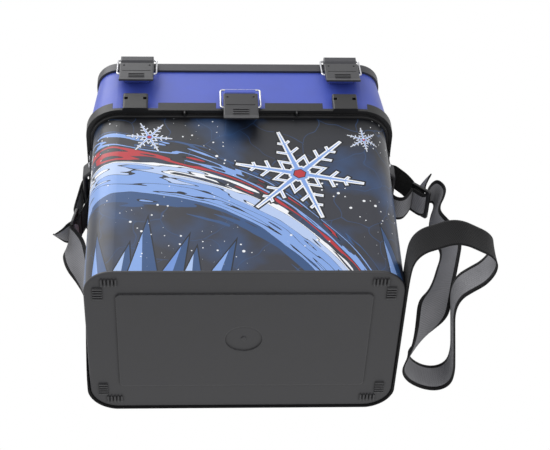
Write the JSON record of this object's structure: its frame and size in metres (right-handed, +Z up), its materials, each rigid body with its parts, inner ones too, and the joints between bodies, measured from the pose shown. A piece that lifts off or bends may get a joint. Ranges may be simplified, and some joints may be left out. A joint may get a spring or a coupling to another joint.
{
  "type": "ice fishing box",
  "caption": "Two-section ice fishing box: printed body wall on a black base, hinged upper tub and seat lid held by draw latches with wire bails, and a webbing shoulder strap.",
  "frame": {"origin": "middle of the underside of the base, on the floor plane", "axes": "+Z up to the lid, -Y towards the latches at the front, +X to the right seen from the front"},
  "size_m": [0.5268, 0.3401, 0.407],
  "materials": {
    "black_plastic": "fine-grained injection moulding",
    "printed_wrap": "printed sheet under a clear film",
    "blue_plastic": "satin injection moulding",
    "seat_foam": "closed-cell foam skin",
    "steel": "drawn bar",
    "latch_plastic": "fine-grained injection moulding",
    "bail_wire": "bright drawn stainless wire",
    "bracket_plastic": "fine-grained injection moulding",
    "rivet": "bright blind rivet",
    "webbing": "woven polyester webbing",
    "slider_plastic": "moulded acetal"
  },
  "bodies": {
    "box": {"base_tray": "black_plastic", "body_wrap": "printed_wrap", "collar": "black_plastic", "section_hinge_pins": "steel", "centre_latch_pin": "steel", "strap_bracket_left": "bracket_plastic", "strap_bracket_right": "bracket_plastic", "bracket_rivets": "rivet", "strap_loop_right": "webbing", "strap_loop_left": "webbing", "strap_run_right": "webbing", "strap_run_left": "webbing", "strap_floor": "webbing", "slider_right": "slider_plastic", "slider_left": "slider_plastic"},
    "section": {"section_tub": "blue_plastic", "lid_hinge_pins": "steel", "lid_latch_pins": "steel"},
    "lid": {"lid_shell": "black_plastic", "seat_pad": "seat_foam"},
    "centre_lever": {"centre_lever": "latch_plastic"},
    "centre_bail": {"centre_bail": "bail_wire"},
    "left_lever": {"left_lever": "latch_plastic"},
    "left_bail": {"left_bail": "bail_wire"},
    "right_lever": {"right_lever": "latch_plastic"},
    "right_bail": {"right_bail": "bail_wire"}
  },
  "joints": [
    {"name": "section_hinge", "type": "hinge", "parent": "box", "child": "section", "pos_m": [0, 0.138, 0.303], "axis": [-1, 0, 0], "range_deg": [0, 100]},
    {"name": "lid_hinge", "type": "hinge", "parent": "section", "child": "lid", "pos_m": [0, 0.12993, 0.388], "axis": [-1, 0, 0], "range_deg": [0, 100]},
    {"name": "centre_lever_hinge", "type": "hinge", "parent": "box", "child": "centre_lever", "pos_m": [0, -0.139, 0.301], "axis": [-1, 0, 0], "range_deg": [0, 120]},
    {"name": "centre_bail_hinge", "type": "hinge", "parent": "centre_lever", "child": "centre_bail", "pos_m": [0, -0.1395, 0.283], "axis": [1, 0, 0], "range_deg": [0, 150]},
    {"name": "left_lever_hinge", "type": "hinge", "parent": "section", "child": "left_lever", "pos_m": [-0.137, -0.13103, 0.3725], "axis": [-1, 0, 0], "range_deg": [0, 120]},
    {"name": "left_bail_hinge", "type": "hinge", "parent": "left_lever", "child": "left_bail", "pos_m": [-0.137, -0.13526, 0.355], "axis": [1, 0, 0], "range_deg": [0, 150]},
    {"name": "right_lever_hinge", "type": "hinge", "parent": "section", "child": "right_lever", "pos_m": [0.137, -0.13103, 0.3725], "axis": [-1, 0, 0], "range_deg": [0, 120]},
    {"name": "right_bail_hinge", "type": "hinge", "parent": "right_lever", "child": "right_bail", "pos_m": [0.137, -0.13526, 0.355], "axis": [1, 0, 0], "range_deg": [0, 150]}
  ],
  "couplings": [
    {"joint": "centre_bail_hinge", "follows": "centre_lever_hinge", "ratio": 1.2},
    {"joint": "left_bail_hinge", "follows": "left_lever_hinge", "ratio": 1.2},
    {"joint": "right_bail_hinge", "follows": "right_lever_hinge", "ratio": 1.2}
  ]
}
